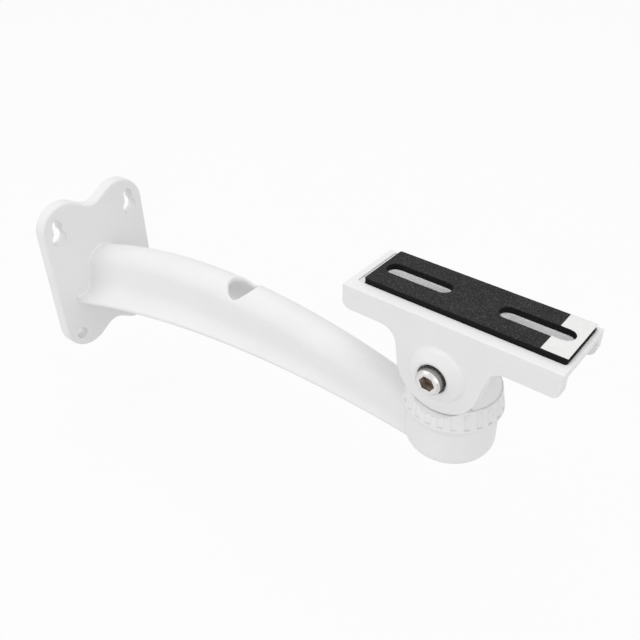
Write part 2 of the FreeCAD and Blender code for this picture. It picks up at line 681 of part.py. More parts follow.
def camera_tray():
    """The tray with its flanges, cheeks, bosses, pad recess and slots."""
    body = new_body("camera_tray", at_head=True)
    flange_low = "(tray_top - flange_depth)"
    cheeks = new_sketch(body, "cheek_outline", "XZ_Plane")
    front_x = "(cheek_radius + cheek_fillet + cheek_lean_front)"
    rear_x = "(cheek_radius + cheek_fillet + cheek_lean_rear)"
    fillet_z = f"({flange_low} - cheek_fillet)"
    inset = "(flange_corner / 4)"
    draw_rounded(cheeks, [
        ("0", "0", "cheek_radius", 1),
        (front_x, fillet_z, "cheek_fillet", -1),
        (f"{front_x} + {inset}", f"{flange_low} + {inset}", inset, 1),
        (f"0 - {rear_x} - {inset}", f"{flange_low} + {inset}", inset, 1),
        (f"0 - {rear_x}", fillet_z, "cheek_fillet", -1),
    ])
    pad(body, "cheeks", cheeks, "tray_width", both_ways=True)
    gap = new_sketch(body, "cheek_gap_outline", "YZ_Plane")
    inner = "(tray_width / 2 - cheek_wall)"
    draw_polygon(gap, [
        (f"0 - {inner}", "0 - cheek_radius - 1"), (inner, "0 - cheek_radius - 1"),
        (inner, "tray_top"), (f"0 - {inner}", "tray_top"),
    ])
    pocket(body, "cheek_gap_cut", gap, both_ways=True)

    channel = new_sketch(body, "channel_outline", "YZ_Plane", "tray_shift")
    outer = "tray_width / 2"
    inside = f"({outer} - flange_wall)"
    draw_polygon(channel, [
        (outer, flange_low), (outer, "tray_top"), (f"0 - {outer}", "tray_top"),
        (f"0 - {outer}", flange_low), (f"0 - {inside}", flange_low),
        (f"0 - {inside}", "tray_top - deck_wall"), (inside, "tray_top - deck_wall"),
        (inside, flange_low),
    ])
    pad(body, "channel", channel, "tray_length", both_ways=True)

    ends = [size("tray_shift") + side * size("tray_length") / 2 for side in (-1, 1)]
    low = size(flange_low)

    def at_flange_corner(edge):
        return flat_at(edge, "Z", low) and any(flat_at(edge, "X", end) for end in ends)

    round_edges(body, "flange_corners", "flange_corner", at_flange_corner)
    top = size("tray_top")
    round_edges(body, "tray_edge", "tray_rounding", lambda edge: flat_at(edge, "Z", top))

    for side in ("1", "-1"):
        boss = new_sketch(body, "boss_profile", "XY_Plane")
        draw_polygon(boss, [
            ("bolt_diameter / 2", f"{side} * (tray_width / 2 - 1)"),
            ("boss_radius", f"{side} * (tray_width / 2 - 1)"),
            ("boss_radius", f"{side} * tray_width / 2"),
            ("boss_shoulder_radius", f"{side} * (tray_width / 2 + boss_shoulder)"),
            ("boss_top_radius", f"{side} * (tray_width / 2 + boss_height)"),
            ("bolt_diameter / 2", f"{side} * (tray_width / 2 + boss_height)"),
        ])
        revolve(body, "boss", boss)
    shoulder = size("tray_width / 2 + boss_shoulder")
    round_edges(body, "boss_edge", "boss_rounding",
                lambda edge: flat_at(edge, "Y", shoulder) or flat_at(edge, "Y", -shoulder))

    recess = new_sketch(body, "head_recess_outline", "XZ_Plane", "tray_width / 2 + boss_height")
    draw_circle(recess, "0", "0", "head_recess_radius")
    pocket(body, "head_recess", recess, "head_height - head_stand + washer_thickness")
    nest = new_sketch(body, "nut_pocket_outline", "XZ_Plane", "0 - tray_width / 2 - boss_height")
    draw_hexagon(nest, "(nut_flats + 2 * nut_gap)")
    pocket(body, "nut_pocket", nest, "nut_thickness", turned=True)
    bore = new_sketch(body, "tilt_bore_outline", "XZ_Plane")
    draw_circle(bore, "0", "0", "bolt_diameter / 2 + thread_gap")
    pocket(body, "tilt_bore_cut", bore, both_ways=True)

    bed = new_sketch(body, "pad_recess_outline", "XY_Plane", "tray_top")
    draw_box(bed, f"{PAD_X} - recess_rear / 2", PAD_Y, f"({PAD_LENGTH} + recess_margin + recess_rear)",
             f"({PAD_WIDTH} + recess_margin)", "(pad_corner + recess_margin / 2)")
    pocket(body, "pad_recess", bed, "pad_sunk")
    slots = new_sketch(body, "slot_outlines", "XY_Plane", "tray_top")
    for side in ("-1", "1"):
        draw_slot(slots, f"{PAD_X} + {side} * {SLOT_X}", PAD_Y, "slot_travel", "slot_width")
    pocket(body, "camera_slots", slots, "deck_wall + 1")
    return body


def foam_pad():
    body = new_body("foam_pad", at_head=True)
    outline = new_sketch(body, "foam_outline", "XY_Plane", "tray_top - pad_sunk")
    draw_box(outline, PAD_X, PAD_Y, PAD_LENGTH, PAD_WIDTH, "pad_corner")
    for side in ("-1", "1"):
        draw_slot(outline, f"{PAD_X} + {side} * {SLOT_X}", PAD_Y, "slot_travel", "foam_slot_width")
    pad(body, "foam", outline, "pad_thickness")
    return body


def liner_strip():
    """The strip of release liner on the pad's outer end, with the slot cut through it."""
    body = new_body("liner_strip", at_head=True)
    outline = new_sketch(body, "liner_outline", "XY_Plane", "tray_top - pad_sunk + pad_thickness")
    middle = f"{PAD_X} + {PAD_LENGTH} / 2 - liner_length / 2"
    draw_box(outline, f"{middle} - liner_margin", PAD_Y, "liner_length",
             f"({PAD_WIDTH} - 2 * liner_margin)", "liner_corner")
    pad(body, "liner", outline, "liner_thickness")
    window = new_sketch(body, "liner_slot", "XY_Plane", "tray_top - pad_sunk + pad_thickness")
    draw_slot(window, f"{PAD_X} + {SLOT_X}", PAD_Y, "slot_travel", "foam_slot_width")
    pocket(body, "liner_window", window, turned=True)
    return body


def turned_bolt(label, role, points, socket_offset, socket_turned):
    """A socket head bolt turned from its half profile, with its hexagon socket."""
    body = new_body(label, at_head=True)
    profile = new_sketch(body, f"{label}_profile", role)
    draw_polygon(profile, points)
    revolve(body, f"{label}_turned", profile)
    plane = "XZ_Plane" if role == "XY_Plane" else "XY_Plane"
    socket = new_sketch(body, f"{label}_socket", plane, socket_offset)
    draw_hexagon(socket, "socket_flats", "socket_turn")
    pocket(body, f"{label}_socket_cut", socket, "socket_depth", turned=socket_turned)
    return body


def tilt_screw():
    """The socket head screw through both cheeks, its head towards -Y."""
    front = "0 - tray_width / 2 - boss_height - head_stand"
    under = f"{front} + head_height"
    tip = "tray_width / 2 + boss_height + tip_stand"
    points = [
        ("0", f"{front} + socket_dish"), ("socket_mouth", front),
        ("head_diameter / 2 - head_chamfer", front),
        ("head_diameter / 2", f"{front} + head_chamfer"), ("head_diameter / 2", under),
        ("bolt_diameter / 2", under), ("bolt_diameter / 2", f"{tip} - tip_chamfer"),
        ("bolt_diameter / 2 - tip_chamfer", tip), ("0", tip),
    ]
    offset = "tray_width / 2 + boss_height + head_stand"
    return turned_bolt("tilt_screw", "XY_Plane", points, offset, False)


def pan_bolt():
    """The bolt from inside the cup up into the swivel."""
    under = "0 - hub_drop - deck_thickness - washer_thickness - spring_thickness"
    bottom = f"{under} - head_height"
    tip = f"{under} + pan_bolt_length"
    points = [
        ("0", f"{bottom} + socket_dish"), ("socket_mouth", bottom),
        ("head_diameter / 2 - head_chamfer", bottom),
        ("head_diameter / 2", f"{bottom} + head_chamfer"), ("head_diameter / 2", under),
        ("bolt_diameter / 2", under), ("bolt_diameter / 2", f"{tip} - tip_chamfer"),
        ("bolt_diameter / 2 - tip_chamfer", tip), ("0", tip),
    ]
    return turned_bolt("pan_bolt", "XZ_Plane", points, bottom, True)


def washer(label, role, offset, diameter, thickness):
    """A flat washer that grows from its sketch along the plane's normal."""
    body = new_body(label, at_head=True)
    outline = new_sketch(body, f"{label}_outline", role, offset)
    draw_circle(outline, "0", "0", f"{diameter} / 2")
    draw_circle(outline, "0", "0", "bolt_diameter / 2 + bolt_gap")
    pad(body, f"{label}_blank", outline, thickness)
    return body


def spring_washer(label, offset):
    """A split washer under the pan bolt's head."""
    body = washer(label, "XY_Plane", offset, "spring_diameter", "spring_thickness")
    split = new_sketch(body, f"{label}_split", "XY_Plane", offset)
    draw_polygon(split, [
        ("0", "0 - spring_split / 2"), ("spring_diameter", "0 - spring_split / 2"),
        ("spring_diameter", "spring_split / 2"), ("0", "spring_split / 2"),
    ])
    pocket(body, f"{label}_split_cut", split, turned=True)
    return body


def tilt_nut():
    body = new_body("tilt_nut", at_head=True)
    outline = new_sketch(body, "nut_outline", "XZ_Plane", "0 - tray_width / 2 - boss_height")
    draw_hexagon(outline, "nut_flats")
    draw_circle(outline, "0", "0", "bolt_diameter / 2 + thread_gap")
    pad(body, "nut", outline, "nut_thickness")
    return body


def build():
    """Every sub-part, in the order that the bracket is put together."""
    head_floor = "tray_width / 2 + boss_height + head_stand - head_height - washer_thickness"
    deck_under = "0 - hub_drop - deck_thickness"
    return [
        arm_casting(),
        swivel(),
        pan_bolt(),
        washer("pan_washer", "XY_Plane", f"{deck_under} - washer_thickness",
               "washer_diameter", "washer_thickness"),
        spring_washer("pan_spring_washer", f"{deck_under} - washer_thickness - spring_thickness"),
        camera_tray(),
        tilt_screw(),
        washer("tilt_washer", "XZ_Plane", head_floor, "washer_diameter", "washer_thickness"),
        tilt_nut(),
        foam_pad(),
        liner_strip(),
    ]


parts = build()
doc.recompute()
for item in doc.Objects:
    if "Invalid" in item.State or "Error" in item.State:
        raise RuntimeError(f"{item.Label} did not build")
for item in parts:
    if item.Shape.isNull() or not item.Shape.isValid():
        raise RuntimeError(f"{item.Label} has no valid shape")

os.makedirs("parts", exist_ok=True)
for item in parts:
    item.Shape.exportStep(f"parts/{item.Label}.step")
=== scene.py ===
import json
import math

import bmesh
import bpy
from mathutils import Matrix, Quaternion, Vector, noise


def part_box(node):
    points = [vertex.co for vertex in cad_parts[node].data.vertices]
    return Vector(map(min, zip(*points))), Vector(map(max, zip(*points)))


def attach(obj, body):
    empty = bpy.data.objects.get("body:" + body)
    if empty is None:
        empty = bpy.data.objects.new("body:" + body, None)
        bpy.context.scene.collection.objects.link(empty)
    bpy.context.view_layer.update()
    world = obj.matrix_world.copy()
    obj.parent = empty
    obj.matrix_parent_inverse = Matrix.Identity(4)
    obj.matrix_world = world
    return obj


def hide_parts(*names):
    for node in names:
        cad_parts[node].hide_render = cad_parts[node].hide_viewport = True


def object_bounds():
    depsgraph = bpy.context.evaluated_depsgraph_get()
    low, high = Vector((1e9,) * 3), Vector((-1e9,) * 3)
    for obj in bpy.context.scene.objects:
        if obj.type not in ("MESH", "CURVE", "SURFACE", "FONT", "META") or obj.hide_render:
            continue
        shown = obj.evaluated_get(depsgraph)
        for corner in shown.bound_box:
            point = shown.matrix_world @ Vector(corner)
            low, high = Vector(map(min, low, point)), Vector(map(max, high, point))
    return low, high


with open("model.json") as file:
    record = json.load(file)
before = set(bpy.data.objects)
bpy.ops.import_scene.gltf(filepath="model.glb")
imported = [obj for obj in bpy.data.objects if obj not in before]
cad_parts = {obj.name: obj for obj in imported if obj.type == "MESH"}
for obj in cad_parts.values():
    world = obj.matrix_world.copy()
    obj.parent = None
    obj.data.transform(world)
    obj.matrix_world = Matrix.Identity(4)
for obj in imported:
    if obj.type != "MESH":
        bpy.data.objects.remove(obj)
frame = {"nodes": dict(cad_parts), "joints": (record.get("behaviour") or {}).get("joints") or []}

# A white cast wall bracket for a camera, seen from above and a little to one side.
# Lengths are in metres, in the bracket's own frame: +X away from the wall, +Z up.

MM = 0.001
cad_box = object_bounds()
joints = {joint["name"]: Vector(joint["pos_m"]) for joint in frame["joints"]}

# The viewpoint, what it looks at, its roll and its lens
EYE = Vector((413.3, -257.7, 277.2)) * MM
AIM = Vector((150.0, 63.3, -22.0)) * MM
ROLL = math.radians(-0.99)
LENS = 42.75

# The even light from all round, and the soft boxes: name, place, width and power in watts
WHITE = (1, 1, 1, 1)
AMBIENT = 0.64
SOFT_BOXES = (
    ("overhead", (0.05, 0.05, 1.30), 1.6, 6.5),
    ("front_left", (-0.55, -1.10, 0.50), 1.0, 2.8),
    ("front_right", (1.15, -0.55, 0.55), 1.0, 2.2),
)

# The floor: its depth below the bracket, its width, and how much of it glows white to the camera
FLOOR_DROP = 45 * MM
FLOOR_SIZE = 14.0
FLOOR_SQUARES = 8
FLOOR_GLOW = 0.92
FLOOR_MOTTLE = 60 * MM
FLOOR_TONES = ((0.3, (0.76, 0.76, 0.76)), (0.7, (0.79, 0.79, 0.79)))

# Rounded edges in a shader: rays to find them, and how far the rounded normal leans from the plain
# one, as a cosine, where an edge starts to show and where it shows fully
EDGE_RAYS = 6
EDGE_SHOWS = (0.97, 0.75)

# The levels between which most of a noise lies
NOISE_RANGE = (0.3, 0.7)

# The white coat: clouds, gloss, ripples, orange peel, and the thin coat on edges
COAT_CLOUD = 34 * MM
COAT_CLOUD_SHARE = 0.65
COAT_MOTTLE = 2.4 * MM
COAT_TONES = (
    (0.30, (0.850, 0.850, 0.851)),
    (0.52, (0.870, 0.870, 0.871)),
    (0.72, (0.886, 0.886, 0.887)),
)
COAT_GLOSS_PATCH = 7 * MM
COAT_ROUGHNESS = (0.40, 0.52)
COAT_IOR = 1.48
COAT_RIPPLE = 15 * MM
COAT_RIPPLE_DEPTH = 0.07 * MM
COAT_PEEL = 0.95 * MM
COAT_PEEL_DEPTH = 0.012 * MM
THIN_COAT_TONE = (0.80, 0.80, 0.798)
THIN_COAT_SHARE = 0.45
THIN_COAT_DULLER = 0.08
CASTING_EDGE = 0.35 * MM
SWIVEL_EDGE = 0.9 * MM

# The screws' turned heads: rings, smudges, scratches, tones, painted shade on the head's side and in its
# socket, and gloss
RING_SPACING = 0.45 * MM
RING_DEPTH = 0.012 * MM
RING_SPACING_AT_SCALE_1 = math.pi / 10
STEEL_SMUDGE = 1.6 * MM
STEEL_SCRATCH = 0.3 * MM
STEEL_SCRATCH_DEPTH = 0.003 * MM
STEEL_EDGE = 0.18 * MM
STEEL_ROUGHNESS = (0.20, 0.33)
STEEL_TONES = ((0.3, (0.68, 0.67, 0.655)), (0.7, (0.79, 0.78, 0.77)))
# Next, the painted shade on the head's side, then the tones of the socket's painted shade and its duller
# gloss
HEAD_SIDE_PAINTED_SHADE = (0.34, 0.335, 0.33)
SOCKET_PAINTED_SHADE_TONES = ((0.3, (0.20, 0.15, 0.125)), (0.7, (0.36, 0.30, 0.265)))
SOCKET_DULLER = 0.12

# Where a head's painted shade lies, each range by where it starts and where it is complete: on its side by
# how it faces and by radius, and in the socket by radius and by depth below the face, with the depths
# where it ends
HEAD_SIDE_FACING = (0.85, 0.35)
HEAD_SIDE_RADIUS = (4.3 * MM, 4.8 * MM)
SOCKET_RADIUS = (4.2 * MM, 4.05 * MM)
SOCKET_DEPTH = (1.6 * MM, 4.4 * MM)
SOCKET_END = (6 * MM, 5 * MM)

# The rubber: cut cells, grain and clouds with their weights, and painted shade on the sides, which face
# away from the light
RUBBER_CELL = 0.62 * MM
RUBBER_CELL_WEIGHT = 0.40
RUBBER_CELL_DEPTH = 0.07 * MM
RUBBER_GRAIN = 0.5 * MM
RUBBER_GRAIN_WEIGHT = 0.50
RUBBER_GRAIN_DEPTH = 0.05 * MM
RUBBER_CLOUD = 6 * MM
RUBBER_CLOUD_WEIGHT = 0.15
RUBBER_TONES = (
    (0.34, (0.0055, 0.0053, 0.0055)),
    (0.46, (0.0125, 0.0121, 0.0123)),
    (0.57, (0.0270, 0.0262, 0.0262)),
    (0.70, (0.0620, 0.0600, 0.0600)),
)
# Painted shade on the sides, and the facing over which it gives way to the top's tones
RUBBER_SIDE_PAINTED_SHADE = (0.0045, 0.0044, 0.0046)
RUBBER_TOP_FACING = (0.55, 0.9)
RUBBER_ROUGHNESS = (0.95, 0.82)
RUBBER_SHEEN = 0.25

# The release paper: fibres drawn out along X, and a mottle
PAPER_FIBRE = 0.30 * MM
PAPER_FIBRE_DEPTH = 0.008 * MM
PAPER_FIBRE_SQUEEZE = (0.25, 1.0, 1.0)
PAPER_FIBRE_SHARE = 0.5
PAPER_MOTTLE = 3.5 * MM
PAPER_TONES = ((0.35, (0.80, 0.80, 0.785)), (0.65, (0.86, 0.86, 0.85)))
PAPER_ROUGHNESS = (0.30, 0.42)

# The foam pad's mesh: its faces, how far its sides pull in, and the grain, wave and edge of its top
PAD_CELL = 0.4 * MM
PAD_LAYER = 0.8 * MM
PAD_WELD = 0.001 * MM
PAD_SLICE_SNAP = 0.002 * MM
PAD_FLAT_WITHIN = math.radians(1)
PAD_CREASE = math.radians(50)
PAD_SIDE_PULL = 0.14 * MM
PAD_TOP_SHARE = 0.99
PAD_GRAIN = 0.06 * MM
PAD_GRAIN_SIZE = 0.8 * MM
PAD_WAVE = 0.10 * MM
PAD_WAVE_SIZE = 13 * MM
PAD_EDGE_DROP = 0.07 * MM

# The liner's mesh: the sheet, how far it stands past the pad, the end that joins its two legs, and
# the slot between them
LINER_THICKNESS = 0.12 * MM
LINER_STEP = 0.4 * MM
LINER_OVERHANG = 0.7 * MM
LINER_BRIDGE = 2.6 * MM
LINER_SLOT_HALF = 4.5 * MM

# How the liner lies: the lift, the length that curls up and the size of its ripples, and then the
# shares of the lift that are level, curled, curled with the ripples, and rippled all over
LINER_LIFT = 0.22 * MM
LINER_CURL_LENGTH = 3 * MM
LINER_RIPPLE_SIZE = 7 * MM
LINER_LEVEL = 0.15
LINER_CURL = 0.6
LINER_CURL_RIPPLE = 0.4
LINER_RIPPLE = 0.12


class Graph:
    """A node tree, with short calls to add and join its nodes."""

    def __init__(self, tree):
        self.tree = tree
        self.tree.nodes.clear()

    def node(self, kind, inputs=None, **settings):
        """Add a node. Each input is a constant or another node's output."""
        made = self.tree.nodes.new("ShaderNode" + kind)
        for name, value in settings.items():
            setattr(made, name, value)
        for name, value in (inputs or {}).items():
            self.feed(made.inputs[name], value)
        return made

    def feed(self, socket, value):
        if isinstance(value, bpy.types.NodeSocket):
            self.tree.links.new(value, socket)
        else:
            socket.default_value = value

    def math(self, operation, first, second=0.0):
        made = self.node("Math", operation=operation)
        self.feed(made.inputs[0], first)
        self.feed(made.inputs[1], second)
        return made.outputs["Value"]

    def weighted(self, *parts):
        """The sum of values, each given with its weight."""
        products = [self.math("MULTIPLY", value, weight) for value, weight in parts]
        total = products[0]
        for product in products[1:]:
            total = self.math("ADD", total, product)
        return total

    def spread(self, value, low, high, to_low=0.0, to_high=1.0):
        """Map a range of values smoothly onto another, and hold it beyond its ends."""
        inputs = {"Value": value, "From Min": low, "From Max": high, "To Min": to_low, "To Max": to_high}
        return self.node("MapRange", inputs, interpolation_type="SMOOTHSTEP").outputs["Result"]

    def ramp(self, value, stops):
        """A colour for each value: stops are (value, (r, g, b))."""
        made = self.node("ValToRGB", {"Fac": value})
        elements = made.color_ramp.elements
        while len(elements) < len(stops):
            elements.new(0.5)
        for element, (where, colour) in zip(elements, stops):
            element.position = where
            element.color = (*colour, 1)
        return made.outputs["Color"]

    def blend(self, share, first, second):
        """A colour between two. The node's colours are its inputs 6 and 7 and its output 2."""
        made = self.node("Mix", data_type="RGBA")
        self.feed(made.inputs["Factor"], share)
        for socket, colour in ((made.inputs[6], first), (made.inputs[7], second)):
            self.feed(socket, colour if isinstance(colour, bpy.types.NodeSocket) else (*colour, 1))
        return made.outputs[2]

    def mixed(self, share, first, second):
        """A shader between two."""
        made = self.node("MixShader", {"Fac": share})
        self.feed(made.inputs[1], first)
        self.feed(made.inputs[2], second)
        return made.outputs["Shader"]

    def bump(self, height, distance, normal=None):
        inputs = {"Height": height, "Distance": distance}
        if normal:
            inputs["Normal"] = normal
        return self.node("Bump", inputs).outputs["Normal"]

    def backdrop_rays(self):
        """1 for the rays that show the backdrop itself: straight, mirrored or through glass."""
        rays = self.node("LightPath").outputs
        either = self.math("MAXIMUM", rays["Is Camera Ray"], rays["Is Glossy Ray"])
        return self.math("MAXIMUM", either, rays["Is Transmission Ray"])


class MaterialGraph(Graph):
    """The nodes of one new material."""

    def __init__(self, name):
        self.material = bpy.data.materials.new(name)
        self.material.use_nodes = True
        super().__init__(self.material.node_tree)
        self.output = self.node("OutputMaterial")
        self.place = self.node("TexCoord").outputs["Object"]

    def surface(self, shader):
        """Finish the material with its shader."""
        self.feed(self.output.inputs["Surface"], shader)
        return self.material

    def grain(self, size, detail=2.0, roughness=0.5, place=None):
        """Noise from 0 to 1 with features of one size."""
        inputs = {"Vector": place or self.place, "Scale": 1 / size}
        inputs.update({"Detail": detail, "Roughness": roughness})
        return self.node("TexNoise", inputs).outputs["Fac"]

    def cells(self, size):
        """Distance to the nearest cell's middle, in cells."""
        inputs = {"Vector": self.place, "Scale": 1 / size}
        return self.node("TexVoronoi", inputs, feature="F1").outputs["Distance"]

    def facing(self, axis):
        """How far the surface faces along one axis, from -1 to 1."""
        normal = self.node("TexCoord").outputs["Normal"]
        return self.node("SeparateXYZ", {"Vector": normal}).outputs[axis]

    def soft_edges(self, radius):
        """The normal with edges rounded off, and how near an edge the point is, from 0 to 1."""
        soft = self.node("Bevel", {"Radius": radius}, samples=EDGE_RAYS).outputs["Normal"]
        plain = self.node("NewGeometry").outputs["Normal"]
        product = self.node("VectorMath", operation="DOT_PRODUCT")
        self.feed(product.inputs[0], soft)
        self.feed(product.inputs[1], plain)
        return soft, self.spread(product.outputs["Value"], *EDGE_SHOWS)


def white_coat(name, rounding):
    """Smooth satin powder coat over a casting: faint clouding, orange peel and thin edges."""
    g = MaterialGraph(name)
    normal, edge = g.soft_edges(rounding)
    clouds = g.weighted(
        (g.grain(COAT_CLOUD, detail=3.0), COAT_CLOUD_SHARE),
        (g.grain(COAT_MOTTLE, detail=3.0, roughness=0.6), 1 - COAT_CLOUD_SHARE),
    )
    white = g.ramp(clouds, COAT_TONES)
    gloss = g.grain(COAT_GLOSS_PATCH, detail=4.0, roughness=0.6)
    rough = g.spread(gloss, *NOISE_RANGE, *COAT_ROUGHNESS)
    normal = g.bump(g.grain(COAT_RIPPLE), COAT_RIPPLE_DEPTH, normal)
    normal = g.bump(g.grain(COAT_PEEL, detail=1.5), COAT_PEEL_DEPTH, normal)
    shader = g.node("BsdfPrincipled", {
        "Base Color": g.blend(g.math("MULTIPLY", edge, THIN_COAT_SHARE), white, THIN_COAT_TONE),
        "Roughness": g.math("ADD", rough, g.math("MULTIPLY", edge, THIN_COAT_DULLER)),
        "IOR": COAT_IOR,
        "Normal": normal,
    })
    return g.surface(shader.outputs["BSDF"])


def turned_steel(name, centre, along, face):
    """Bright stainless steel with fine turning rings about an axis, painted shade on the head's side, and
    a dull hexagon socket with painted shade that darkens with depth.

    along is the axis letter and face the level of the head's face on it. The socket goes from
    there towards the positive end of that axis.
    """
    g = MaterialGraph(name)
    offset = g.node("VectorMath", operation="SUBTRACT")
    g.feed(offset.inputs[0], g.place)
    g.feed(offset.inputs[1], centre)
    about = offset.outputs["Vector"]
    scale = RING_SPACING_AT_SCALE_1 / RING_SPACING
    waves = {"Vector": about, "Scale": scale, "Distortion": 0.6, "Detail": 2.0, "Detail Scale": 4.0}
    rings = g.node("TexWave", waves, wave_type="RINGS", rings_direction=along).outputs["Fac"]

    parts = g.node("SeparateXYZ", {"Vector": about}).outputs
    across = [letter for letter in "XYZ" if letter != along]
    squares = [g.math("POWER", g.math("ABSOLUTE", parts[letter]), 2.0) for letter in across]
    radius = g.math("SQRT", g.math("ADD", *squares))
    depth = g.math("SUBTRACT", parts[along], face)
    # Painted shade in the socket: darker with depth below the face, up to where the socket ends
    deeper_shade = g.math("MULTIPLY", g.spread(depth, *SOCKET_DEPTH), g.spread(depth, *SOCKET_END))
    socket = g.math("MULTIPLY", g.spread(radius, *SOCKET_RADIUS), deeper_shade)
    # Painted shade on the head's side, where the surface turns away from the axis
    turned_away = g.spread(g.math("ABSOLUTE", g.facing(along)), *HEAD_SIDE_FACING)
    painted_side_shade = g.math("MULTIPLY", turned_away, g.spread(radius, *HEAD_SIDE_RADIUS))

    smudge = g.grain(STEEL_SMUDGE, detail=4.0, roughness=0.65)
    bright = g.blend(painted_side_shade, g.ramp(smudge, STEEL_TONES), HEAD_SIDE_PAINTED_SHADE)
    rough = g.spread(smudge, *NOISE_RANGE, *STEEL_ROUGHNESS)
    normal, _ = g.soft_edges(STEEL_EDGE)
    normal = g.bump(rings, RING_DEPTH, normal)
    normal = g.bump(g.grain(STEEL_SCRATCH, detail=3.0), STEEL_SCRATCH_DEPTH, normal)
    shader = g.node("BsdfPrincipled", {
        # The socket's painted shade goes over the steel's colour
        "Base Color": g.blend(socket, bright, g.ramp(smudge, SOCKET_PAINTED_SHADE_TONES)),
        "Metallic": 1.0,
        "Roughness": g.math("ADD", rough, g.math("MULTIPLY", socket, SOCKET_DULLER)),
        "Normal": normal,
    })
    return g.surface(shader.outputs["BSDF"])


def cellular_rubber():
    """Matt black closed-cell rubber: fine pits, pale specks where cells are cut, and painted shade on the
    sides.
    """
    g = MaterialGraph("cellular_rubber")
    pits = g.cells(RUBBER_CELL)
    fine = g.grain(RUBBER_GRAIN, detail=3.0, roughness=0.7)
    clouds = g.grain(RUBBER_CLOUD, detail=3.0)
    tone = g.weighted(
        (pits, RUBBER_CELL_WEIGHT), (fine, RUBBER_GRAIN_WEIGHT), (clouds, RUBBER_CLOUD_WEIGHT),
    )
    # Painted shade: faces that turn away from up take the darker side tone
    on_top = g.spread(g.facing("Z"), *RUBBER_TOP_FACING)
    normal = g.bump(pits, RUBBER_CELL_DEPTH)
    normal = g.bump(fine, RUBBER_GRAIN_DEPTH, normal)
    shader = g.node("BsdfPrincipled", {
        "Base Color": g.blend(on_top, RUBBER_SIDE_PAINTED_SHADE, g.ramp(tone, RUBBER_TONES)),
        "Roughness": g.spread(fine, *NOISE_RANGE, *RUBBER_ROUGHNESS),
        "Specular IOR Level": RUBBER_SHEEN,
        "Normal": normal,
    })
    return g.surface(shader.outputs["BSDF"])


def release_paper():
    """Satin white release paper with a faint fibre and a slight mottle."""
    g = MaterialGraph("release_paper")
    squeeze = {"Vector": g.place, "Scale": PAPER_FIBRE_SQUEEZE}
    stretched = g.node("Mapping", squeeze).outputs["Vector"]
    fibre = g.grain(PAPER_FIBRE, detail=4.0, roughness=0.6, place=stretched)
    mottle = g.grain(PAPER_MOTTLE, detail=3.0)
    tone = g.weighted((fibre, PAPER_FIBRE_SHARE), (mottle, 1 - PAPER_FIBRE_SHARE))
    shader = g.node("BsdfPrincipled", {
        "Base Color": g.ramp(tone, PAPER_TONES),
        "Roughness": g.spread(mottle, *NOISE_RANGE, *PAPER_ROUGHNESS),
        "Normal": g.bump(fibre, PAPER_FIBRE_DEPTH),
    })
    return g.surface(shader.outputs["BSDF"])


def pale_floor():
    """A matt pale floor. To the camera most of it glows white, so that the shadow stays faint."""
    g = MaterialGraph("pale_floor")
    tone = g.ramp(g.grain(FLOOR_MOTTLE, detail=4.0), FLOOR_TONES)
    matt = g.node("BsdfDiffuse", {"Color": tone}).outputs["BSDF"]
    glow = g.node("Emission", {"Color": WHITE, "Strength": 1.0}).outputs["Emission"]
    share = g.math("MULTIPLY", g.backdrop_rays(), FLOOR_GLOW)
    return g.surface(g.mixed(share, matt, glow))


def dress(piece, material):
    """Put one material on a whole piece."""
    piece.data.materials.clear()
    piece.data.materials.append(material)


def piece_from(form, name):
    """A new piece with a form's mesh, which frees the form."""
    mesh = bpy.data.meshes.new(name)
    form.to_mesh(mesh)
    form.free()
    piece = bpy.data.objects.new(name, mesh)
    bpy.context.scene.collection.objects.link(piece)
    return piece


def apply_modifiers(piece):
    """Give a piece the mesh that its modifiers leave."""
    graph = bpy.context.evaluated_depsgraph_get()
    mesh = bpy.data.meshes.new_from_object(piece.evaluated_get(graph))
    piece.modifiers.clear()
    piece.data = mesh


def slice_evenly(form, geometry, axis, start, end, step):
    """Cut a form by evenly spaced planes square to one axis, between two levels."""
    count = round((end - start) / step)
    square = Vector((axis == 0, axis == 1, axis == 2))
    for index in range(1, count):
        level = square * (start + (end - start) * index / count)
        bmesh.ops.bisect_plane(form, geom=geometry(), dist=PAD_SLICE_SNAP, plane_co=level, plane_no=square)


